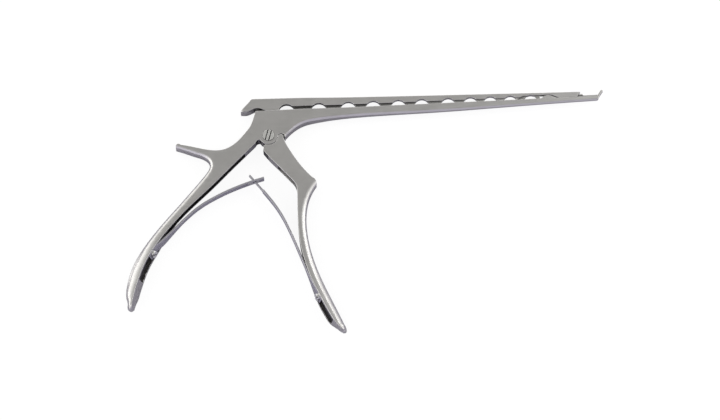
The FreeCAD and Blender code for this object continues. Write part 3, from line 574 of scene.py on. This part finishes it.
REAR_GRIP = Grip(
    inner_mm=[(-85.6, -102.9), (-85.0, -95.4), (-82.3, -87.0), (-78.9, -78.5), (-71.6, -66.3),
              (-62.0, -55.0), (-49.3, -42.2), (-36.7, -31.1), (-24.1, -19.3), (-11.5, -7.7)],
    void_side=1, lean_mm=3.0, lean_fade_mm=(36.0, 64.0), crown=0.50, crown_fade_mm=(62.0, 104.0),
    breadth_mm=(5.0, 8.8), end_centre_mm=(-87.85, -102.3), end_radius_mm=2.33, end_lean=1.0)
TRIGGER_GRIP = Grip(
    inner_mm=[(37.2, -124.4), (33.2, -116.8), (28.9, -108.3), (24.9, -99.3), (21.4, -90.9),
              (17.9, -79.4), (16.0, -70.5), (15.2, -60.4), (15.1, -51.0), (15.5, -38.0)],
    void_side=-1, lean_mm=2.5, lean_fade_mm=(20.0, 50.0), crown=0.34, crown_fade_mm=(24.0, 66.0),
    breadth_mm=(5.0, 5.6), end_centre_mm=(38.9, -122.45), end_radius_mm=2.41, end_lean=0.0)


@dataclass
class ForgedPiece:
    """A rigid piece: a copy of its solid's mesh, finished by hand.

    A piece with a grip, or one that sits on it, is dressed from grip_top_mm down. Before that, each
    length of facets_mm in turn halves the edges that are as long or longer, in the lowest
    grip_height_mm, and end_facets_mm does so at the end alone, whose points are relaxed afterwards.
    """

    node: str
    body: Body
    slot: Slot
    grip: Grip | None = None
    weld_mm: float = 0.002
    sharp_deg: float = 28.0
    facets_mm: tuple[float, ...] = (5.0, 3.4, 2.4)
    end_facets_mm: tuple[float, ...] = (1.6, 1.2)
    grip_height_mm: float = 90.0
    grip_top_mm: float = -12.0
    end_margin_mm: float = 1.0
    relax_passes: int = 12
    relax_share: float = 0.5

    def build(self, finishes: Finishes) -> bpy.types.Object:
        """Build the piece.

        Args:
            finishes: the tool's materials.

        Returns:
            The piece.
        """
        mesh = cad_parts[self.node].data.copy()
        mesh.name = self.node + "_finished"
        if "custom_normal" in mesh.attributes:
            mesh.attributes.remove(mesh.attributes["custom_normal"])
        shape = bmesh.new()
        shape.from_mesh(mesh)
        bmesh.ops.remove_doubles(shape, verts=shape.verts, dist=self.weld_mm * MM)
        shape.normal_update()
        if self.grip:
            self.dress_grip(shape, self.grip)
        shape.to_mesh(mesh)
        shape.free()
        piece = placed(self.node + "_finished", mesh)
        self.carve(piece)
        self.shade(piece.data)
        piece.modifiers.new("even_faces", "WEIGHTED_NORMAL").keep_sharp = True
        finishes.dress(piece, self.slot)
        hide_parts(self.node)
        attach(piece, self.body.value)
        return piece

    def dress_grip(self, shape: bmesh.types.BMesh, grip: Grip) -> None:
        """Divide the flats of a grip and move its points to where the dressing leaves them.

        Args:
            shape: the mesh under construction.
            grip: the grip's dressing.
        """
        top = min(vert.co.y for vert in shape.verts) + self.grip_height_mm * MM
        for longest in (*self.facets_mm, *self.end_facets_mm):
            edges = [edge for edge in shape.edges if edge.calc_length() >= longest * MM
                     and max(vert.co.y for vert in edge.verts) < top
                     and (longest in self.facets_mm or all(
                         grip.above_tip(vert.co / MM) < grip.end_reach_mm + self.end_margin_mm
                         for vert in edge.verts))]
            bmesh.ops.subdivide_edges(shape, edges=edges, cuts=1, use_grid_fill=False)
            bmesh.ops.triangulate(
                shape, faces=[face for face in shape.faces if len(face.verts) > 3])
        shape.normal_update()
        # The groove's faces are marked for near-black painted shade.
        recess = shape.faces.layers.float.new(RECESS)
        for face in shape.faces:
            face[recess] = 1.0 if grip.grooved(face) else 0.0
        for vert in shape.verts:
            if vert.co.y < self.grip_top_mm * MM:
                vert.co = grip.dressed(vert.co / MM) * MM
        end = [vert for vert in shape.verts if grip.above_tip(vert.co / MM) < grip.end_reach_mm]
        for _ in range(self.relax_passes):
            bmesh.ops.smooth_vert(shape, verts=end, factor=self.relax_share, use_axis_x=True,
                                  use_axis_y=True, use_axis_z=True)

    def carve(self, piece: bpy.types.Object) -> None:
        """Cut what the solid lacks into the piece, which is nothing on most of them."""

    def sunk(self, face: bmesh.types.BMFace) -> bool:
        """Say whether a face lies too deep for light to reach, which most pieces have none of."""
        return False

    def shade(self, mesh: bpy.types.Mesh) -> None:
        """Shade the piece smoothly, with its edges kept sharp and its sunk faces marked for painted
        shade.

        Args:
            mesh: the piece's mesh.
        """
        shape = bmesh.new()
        shape.from_mesh(mesh)
        recess = shape.faces.layers.float.get(RECESS) or shape.faces.layers.float.new(RECESS)
        for face in shape.faces:
            face.smooth = True
            if self.sunk(face):
                face[recess] = 1.0
        sharp = math.radians(self.sharp_deg)
        for edge in shape.edges:
            edge.smooth = len(edge.link_faces) == 2 and edge.calc_face_angle(0.0) < sharp
        shape.to_mesh(mesh)
        shape.free()


@dataclass
class PivotScrew(ForgedPiece):
    """The screw that the trigger turns on, with painted shade in the two driver slots of its head.
    """

    slots_under_mm: float = 9.45
    slots_radius_mm: float = 3.0

    def sunk(self, face: bmesh.types.BMFace) -> bool:
        """Say whether a face lies in the driver slots."""
        centre = face.calc_center_median() / MM
        return centre.z < self.slots_under_mm and centre.xy.length < self.slots_radius_mm


@dataclass
class TriggerHandle(ForgedPiece):
    """The front handle, with painted shade in the corner where it comes out from under the frame.
    """

    corner_x_mm: tuple[float, float] = (-8.0, 0.0)
    corner_y_mm: tuple[float, float] = (-13.0, -4.0)
    corner_steep: float = 0.6

    def sunk(self, face: bmesh.types.BMFace) -> bool:
        """Say whether a face is one of the steep ones in the corner under the frame, which get
        painted shade.

        Args:
            face: the face.

        Returns:
            True for such a face.
        """
        centre = face.calc_center_median() / MM
        return (self.corner_x_mm[0] < centre.x < self.corner_x_mm[1]
                and self.corner_y_mm[0] < centre.y < self.corner_y_mm[1]
                and abs(face.normal.z) < self.corner_steep)


@dataclass
class SlidingShaft(ForgedPiece):
    """The upper shaft, with a row of arched windows whose walls flare towards the lower face.

    A pair of sizes is that of the first window and that of the last one. The flare starts at
    sharp_level_mm, and its cutters reach past both faces, from top_mm to bottom_mm.
    """

    centres_mm: tuple[float, ...] = (
        11.7, 31.1, 48.8, 63.8, 79.0, 93.0, 108.9, 122.3, 134.3, 146.3, 158.6)
    length_mm: tuple[float, float] = (9.8, 7.8)
    rise_mm: tuple[float, float] = (3.4, 2.5)
    flare_deg: tuple[float, float] = (12.0, 1.0)
    inset_mm: float = 0.05
    foot_mm: float = 15.45
    under_foot_mm: float = 0.6
    sharp_level_mm: float = 8.9
    top_mm: float = 9.4
    bottom_mm: float = -0.4
    arc_steps: int = 16

    def carve(self, piece: bpy.types.Object) -> None:
        """Cut the flare of the windows into the shaft.

        Args:
            piece: the shaft.
        """
        cutter = self.flare_cutter()
        cut = piece.modifiers.new("flare", "BOOLEAN")
        cut.operation, cut.solver, cut.object = "DIFFERENCE", "EXACT", cutter
        view = bpy.context.evaluated_depsgraph_get()
        piece.data = bpy.data.meshes.new_from_object(piece.evaluated_get(view))
        piece.modifiers.remove(cut)
        bpy.data.objects.remove(cutter)

    def flare_cutter(self) -> bpy.types.Object:
        """Build the slanted prisms that flare the windows.

        Returns:
            One object that holds them all.
        """
        shape = bmesh.new()
        last = len(self.centres_mm) - 1
        for number, centre in enumerate(self.centres_mm):
            length, rise, flare = (
                first + number / last * (final - first)
                for first, final in (self.length_mm, self.rise_mm, self.flare_deg))
            slope = math.tan(math.radians(flare))
            upper, lower = (
                self.outline(shape, centre, length / 2 - self.inset_mm, rise, level,
                             (self.sharp_level_mm - level) * slope)
                for level in (self.top_mm, self.bottom_mm))
            shape.faces.new(upper)
            shape.faces.new(lower[::-1])
            for here, there in zip(range(len(upper)), [*range(1, len(upper)), 0]):
                shape.faces.new((upper[here], lower[here], lower[there], upper[there]))
        bmesh.ops.recalc_face_normals(shape, faces=shape.faces)
        return placed("window_flare", mesh_of(shape, "window_flare"))

    def outline(self, shape: bmesh.types.BMesh, centre: float, half: float, rise: float,
                level: float, lift: float) -> list[bmesh.types.BMVert]:
        """Add the outline of a window at one level, all in millimetres.

        Args:
            shape: the mesh under construction.
            centre: the window's middle along the shaft.
            half: half the window's length.
            rise: how far its arch rises over its foot.
            level: the outline's height over the table.
            lift: how far the flare lifts the arch at this level.

        Returns:
            The outline's points: the arch, then the two corners below the foot.
        """
        radius = (half * half + rise * rise) / (2 * rise)
        spread = math.asin(half / radius)
        points = []
        for step in range(self.arc_steps + 1):
            angle = spread * (1 - 2 * step / self.arc_steps)
            points.append((centre + radius * math.sin(angle),
                           self.foot_mm + rise - radius + radius * math.cos(angle) + lift, level))
        points += [(x, self.foot_mm - self.under_foot_mm, level)
                   for x in (centre - half, centre + half)]
        return [shape.verts.new(Vector(point) * MM) for point in points]


def forged_pieces() -> list[ForgedPiece]:
    """List the rigid pieces.

    Returns:
        The six pieces.
    """
    return [
        PivotScrew("pivot_screw", Body.FRAME, Slot.SCREW),
        ForgedPiece("fixed_shaft", Body.FRAME, Slot.SATIN, REAR_GRIP),
        TriggerHandle("trigger_handle", Body.TRIGGER, Slot.SATIN, TRIGGER_GRIP),
        ForgedPiece("rear_spring_screw", Body.FRAME, Slot.SCREW, REAR_GRIP),
        ForgedPiece("front_spring_screw", Body.TRIGGER, Slot.SCREW, TRIGGER_GRIP),
        SlidingShaft("sliding_shaft", Body.SLIDE, Slot.SATIN),
    ]


@dataclass
class LeafSpring:
    """A leaf spring: rolled strip with its foot on one handle and its free end in the other spring.

    slot_mm is where the slot lies, from the free end. tongue_mm is how long the tongue is.
    """

    name: str
    node: str
    anchored: Body
    grip: Grip
    path_mm: list[tuple[float, float]]
    crossing_mm: tuple[float, float]
    hold_mm: tuple[float, float]
    slot_mm: tuple[float, float] | None = None
    tongue_mm: float | None = None
    width_mm: float = 6.0
    thickness_mm: float = 1.1
    middle_mm: float = 4.5
    slot_width_mm: float = 3.0
    tongue_width_mm: float = 2.2
    rolled_edge_mm: float = 0.22
    rolled_edge_deg: float = 50.0
    rolled_edge_steps: int = 3
    path_steps: int = 24
    samples: int = 120

    def build(self, finishes: Finishes) -> bpy.types.Object:
        """Build the spring as a fixed strip between the two handles.

        Args:
            finishes: the tool's materials.

        Returns:
            The spring.
        """
        piece = placed(self.name, self.mesh())
        rounding = piece.modifiers.new("rolled_edges", "BEVEL")
        rounding.width, rounding.segments = self.rolled_edge_mm * MM, self.rolled_edge_steps
        rounding.limit_method, rounding.angle_limit = "ANGLE", math.radians(self.rolled_edge_deg)
        for face in piece.data.polygons:
            face.use_smooth = True
        finishes.dress(piece, Slot.SPRING)
        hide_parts(self.node)
        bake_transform(piece)
        return piece

    def mesh(self) -> bpy.types.Mesh:
        """Build the strip, with its slot or tongue.

        Returns:
            The mesh.
        """
        line = self.centre_line()
        shape = bmesh.new()
        rows = [self.row(shape, line, number) for number in range(self.samples + 1)]
        self.skin(shape, rows, running_lengths(line)[-1])
        stray = [vert for vert in shape.verts if not vert.link_faces]
        bmesh.ops.delete(shape, geom=stray, context="VERTS")
        bmesh.ops.recalc_face_normals(shape, faces=shape.faces)
        return mesh_of(shape, self.name)

    def centre_line(self) -> list[Vector]:
        """Space points evenly along the strip's middle.

        Returns:
            The points, in millimetres, one more than the strip has samples.
        """
        dense = smooth_line(self.path_mm, self.path_steps)
        lengths = running_lengths(dense)
        spaced, at = [], 0
        for number in range(self.samples + 1):
            wanted = lengths[-1] * number / self.samples
            while at < len(lengths) - 2 and lengths[at + 1] < wanted:
                at += 1
            share = (wanted - lengths[at]) / (lengths[at + 1] - lengths[at])
            spaced.append(dense[at].lerp(dense[at + 1], share))
        return spaced

    def lanes(self) -> list[float]:
        """Divide the strip's width where its slot or its tongue has its sides.

        Returns:
            The places across the width, from its middle, in millimetres.
        """
        half = self.width_mm / 2
        inner = (self.slot_width_mm if self.slot_mm else self.tongue_width_mm) / 2
        return [-half, -inner, inner, half]

    def row(self, shape: bmesh.types.BMesh, line: list[Vector],
            number: int) -> list[list[bmesh.types.BMVert]]:
        """Add the points across the strip at one place along it.

        Args:
            shape: the mesh under construction.
            line: the strip's middle.
            number: which of the line's points the row is at.

        Returns:
            The points of each side of the strip, by lane.
        """
        along = (line[min(number + 1, self.samples)] - line[max(number - 1, 0)]).normalized()
        across = Vector((-along.y, along.x, 0)) * self.thickness_mm
        sides = [line[number] + across * side for side in (-0.5, 0.5)]
        return [[shape.verts.new(
            self.grip.dressed(Vector((side.x, side.y, self.middle_mm + lane))) * MM)
            for lane in self.lanes()] for side in sides]

    def filled(self, lane: int, from_end: float) -> bool:
        """Say whether a lane of the strip has metal at a place.

        Args:
            lane: 0, 1 or 2 across the width.
            from_end: the distance from the free end, in millimetres.

        Returns:
            False in the slot and beside the tongue.
        """
        if self.slot_mm and lane == 1:
            return not self.slot_mm[0] < from_end < self.slot_mm[1]
        if self.tongue_mm and lane != 1:
            return from_end > self.tongue_mm
        return True

    def skin(self, shape: bmesh.types.BMesh, rows: list[list[list[bmesh.types.BMVert]]],
             length: float) -> None:
        """Close the strip's surface wherever it has metal.

        Args:
            shape: the mesh under construction.
            rows: the points, by row, side and lane.
            length: the strip's whole length, in millimetres.
        """
        step = length / self.samples
        metal = {(row, lane): self.filled(lane, length - (row + 0.5) * step)
                 for row in range(self.samples) for lane in range(len(rows[0][0]) - 1)}
        for row, lane in (cell for cell, filled in metal.items() if filled):
            # Corner by corner round the cell, and the cell beyond the edge from each to the next.
            corners = ((row, lane), (row, lane + 1), (row + 1, lane + 1), (row + 1, lane))
            beyond = ((row - 1, lane), (row, lane + 1), (row + 1, lane), (row, lane - 1))
            under, over = ([rows[along][side][across] for along, across in corners]
                           for side in (0, 1))
            shape.faces.new(under)
            shape.faces.new(over)
            for number, cell in enumerate(beyond):
                if not metal.get(cell):
                    after = (number + 1) % len(corners)
                    shape.faces.new((under[number], under[after], over[after], over[number]))


def spring_pair() -> list[LeafSpring]:
    """Pair the springs, whose free ends hook into each other half way between the handles.

    Returns:
        The rear spring and the front spring.
    """
    crossing = (-8.1, -27.9)
    return [
        LeafSpring(
            "rear_spring_leaf", "rear_spring", Body.FRAME, REAR_GRIP,
            [(-75.73, -70.95), (-71.89, -65.35), (-67.2, -61.9), (-62.9, -58.4), (-58.0, -54.2),
             (-51.6, -48.4), (-45.8, -43.6), (-39.5, -39.5), (-32.1, -35.7), (-24.8, -32.5),
             (-17.4, -29.8), (-10.1, -27.5), (-3.9, -25.9)],
            crossing, hold_mm=(-68.0, -61.5), slot_mm=(2.8, 9.9)),
        LeafSpring(
            "front_spring_leaf", "front_spring", Body.TRIGGER, TRIGGER_GRIP,
            [(27.50, -103.48), (24.55, -97.1), (21.4, -90.3), (18.5, -83.0), (16.5, -77.6),
             (14.8, -72.8), (12.6, -66.6), (9.9, -59.5), (6.8, -52.1), (2.8, -44.6),
             (-2.4, -36.9), (-8.6, -28.6), (-12.6, -23.4)],
            crossing, hold_mm=(21.0, -90.0), tongue_mm=12.6),
    ]


@dataclass(frozen=True)
class Wall:
    """A side of the light tent: the tent's brightness changes across a span of one axis."""

    axis: str
    span: tuple[float, float]
    brightness: tuple[float, float]


@dataclass(frozen=True)
class SoftBox:
    """A square lamp behind a diffuser."""

    name: str
    place_m: tuple[float, float, float]
    side_m: float
    power_w: float

    def hang(self, aim: Vector) -> None:
        """Hang the lamp so that it shines at a point.

        Args:
            aim: the point, in metres.
        """
        light = bpy.data.lights.new(self.name, "AREA")
        light.shape, light.size, light.energy = "SQUARE", self.side_m, self.power_w
        lamp = placed(self.name, light)
        lamp.location = self.place_m
        lamp.rotation_euler = (aim - Vector(self.place_m)).to_track_quat("-Z", "Y").to_euler()


@dataclass
class Studio:
    """White table, light tent, soft boxes and the camera of a catalogue photograph.

    The tent is dimmer overhead, where the camera stands, and tinted on the side of the handles.
    """

    middle_m: tuple[float, float] = (0.05, -0.03)
    table_half_m: float = 6.0
    table_gap_m: float = 0.0003
    table_colour: str = "#BCBAC6"
    paper_colour: str = "#F2F2F2"
    paper_glow: float = 1.06
    paper_share: float = 0.84
    horizon: float = 1.22
    overhead: float = 0.45
    roof_span: tuple[float, float] = (0.30, 0.95)
    walls: tuple[Wall, ...] = (
        Wall("X", (-0.70, -0.10), (1.8, 1.0)),
        Wall("X", (0.50, 0.95), (1.0, 1.5)),
        Wall("Y", (-0.95, -0.5), (0.78, 1.0)))
    tint_span: tuple[float, float] = (-0.9, -0.3)
    tent_colour: str = "#FFFEFC"
    tint_colour: str = "#E6E2F4"
    soft_boxes: tuple[SoftBox, ...] = (
        SoftBox("soft_box_left", (-0.9, 0.10, 0.50), 0.7, 0.7),
        SoftBox("soft_box_right", (1.0, 0.2, 0.25), 0.5, 1.0),
        SoftBox("soft_box_jaw", (0.36, 0.16, 0.36), 0.12, 0.22))
    pixel_mm: float = 0.6
    tilt_deg: float = 17.0
    turn_deg: float = 3.0
    away_m: float = 4.0
    sensor_mm: float = 36.0
    clip_m: tuple[float, float] = (0.1, 50.0)
    photo_size: tuple[int, int] = (720, 420)
    pivot_pixel: tuple[float, float] = (268.4, 135.1)
    pivot_height_mm: float = 9.0

    def build(self) -> None:
        """Build the table, the tent, the soft boxes and the camera."""
        self.table()
        self.tent()
        for soft_box in self.soft_boxes:
            soft_box.hang(Vector((*self.middle_m, 0)))
        self.camera()
        bpy.context.scene.view_settings.view_transform = "Standard"

    def table(self) -> None:
        """Lay a pale table under the tool."""
        shape = bmesh.new()
        bmesh.ops.create_grid(shape, x_segments=1, y_segments=1, size=self.table_half_m)
        top = placed("table", mesh_of(shape, "table"))
        top.location = (*self.middle_m, -self.table_gap_m)
        # White matte laminate: it keeps the tool's soft shadow, and the camera sees paper white.
        made = bpy.data.materials.new("white_matte_laminate")
        tree = emptied_tree(made)
        seen = add_node(tree, "ShaderNodeLightPath").outputs["Is Camera Ray"]
        colour = add_node(tree, "ShaderNodeMix", {0: seen}, {
            MIX_A: linear(self.table_colour), MIX_B: linear(self.paper_colour)}, data_type="RGBA")
        matte = add_node(tree, "ShaderNodeBsdfDiffuse", {"Color": colour.outputs[MIX_OUT]})
        glow = add_node(tree, "ShaderNodeEmission", values={
            "Color": (1, 1, 1, 1), "Strength": self.paper_glow})
        share = add_node(tree, "ShaderNodeMath", {0: seen}, {1: self.paper_share},
                         operation="MULTIPLY")
        both = add_node(tree, "ShaderNodeMixShader", {
            0: share.outputs["Value"], 1: matte.outputs["BSDF"], 2: glow.outputs["Emission"]})
        add_node(tree, "ShaderNodeOutputMaterial", {"Surface": both.outputs["Shader"]})
        top.data.materials.append(made)

    def tent(self) -> None:
        """Surround the tool with a white tent."""
        world = bpy.data.worlds.new("light_tent")
        tree = emptied_tree(world)
        way = add_node(tree, "ShaderNodeTexCoord").outputs["Generated"]
        way = add_node(tree, "ShaderNodeSeparateXYZ", {0: way}).outputs
        level = add_node(tree, "ShaderNodeMapRange", {"Value": way["Z"]},
                         dict(zip(RANGE, (*self.roof_span, self.horizon, self.overhead))),
                         interpolation_type="SMOOTHSTEP").outputs["Result"]
        for wall in self.walls:
            shine = add_node(tree, "ShaderNodeMapRange", {"Value": way[wall.axis]},
                             dict(zip(RANGE, (*wall.span, *wall.brightness))),
                             interpolation_type="SMOOTHSTEP")
            level = add_node(tree, "ShaderNodeMath", {0: level, 1: shine.outputs["Result"]},
                             operation="MULTIPLY").outputs["Value"]
        near = add_node(tree, "ShaderNodeMapRange", {"Value": way["Y"]},
                        dict(zip(RANGE, (*self.tint_span, 1.0, 0.0))),
                        interpolation_type="SMOOTHSTEP")
        tint = add_node(tree, "ShaderNodeMix", {0: near.outputs["Result"]}, {
            MIX_A: linear(self.tent_colour), MIX_B: linear(self.tint_colour)}, data_type="RGBA")
        light = add_node(tree, "ShaderNodeBackground", {
            "Strength": level, "Color": tint.outputs[MIX_OUT]})
        add_node(tree, "ShaderNodeOutputWorld", {"Surface": light.outputs["Background"]})
        bpy.context.scene.world = world

    def camera(self) -> None:
        """Stand the camera where the photograph was taken from, but far off, against skew."""
        tilt, turn = math.radians(self.tilt_deg), math.radians(self.turn_deg)
        right = Vector((math.cos(turn), -math.sin(turn), 0))
        ahead = Vector((math.sin(turn), math.cos(turn), 0))
        up = ahead * math.cos(tilt) + Vector((0, 0, math.sin(tilt)))
        back = Vector((0, 0, math.cos(tilt))) - ahead * math.sin(tilt)
        width, height = self.photo_size
        aside = (self.pivot_pixel[0] - width / 2) * self.pixel_mm * MM
        above = (height / 2 - self.pivot_pixel[1]) * self.pixel_mm * MM
        pivot = Vector((0, 0, self.pivot_height_mm * MM))
        lens = bpy.data.cameras.new("camera")
        lens.sensor_width = self.sensor_mm
        lens.lens = self.sensor_mm / width * self.away_m / (self.pixel_mm * MM)
        lens.clip_start, lens.clip_end = self.clip_m
        eye = placed("camera", lens)
        eye.matrix_world = Matrix((right, up, back)).transposed().to_4x4()
        eye.location = pivot + back * self.away_m - right * aside - up * above
        bpy.context.scene.camera = eye


def main() -> None:
    """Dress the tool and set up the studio."""
    logging.basicConfig(level=logging.INFO, format="%(name)s: %(message)s")
    finishes = Finishes()
    for maker in (*forged_pieces(), *spring_pair()):
        piece = maker.build(finishes)
        LOG.info("built %s with %d faces", piece.name, len(piece.data.polygons))
    Studio().build()


if __name__ == "__main__":
    main()
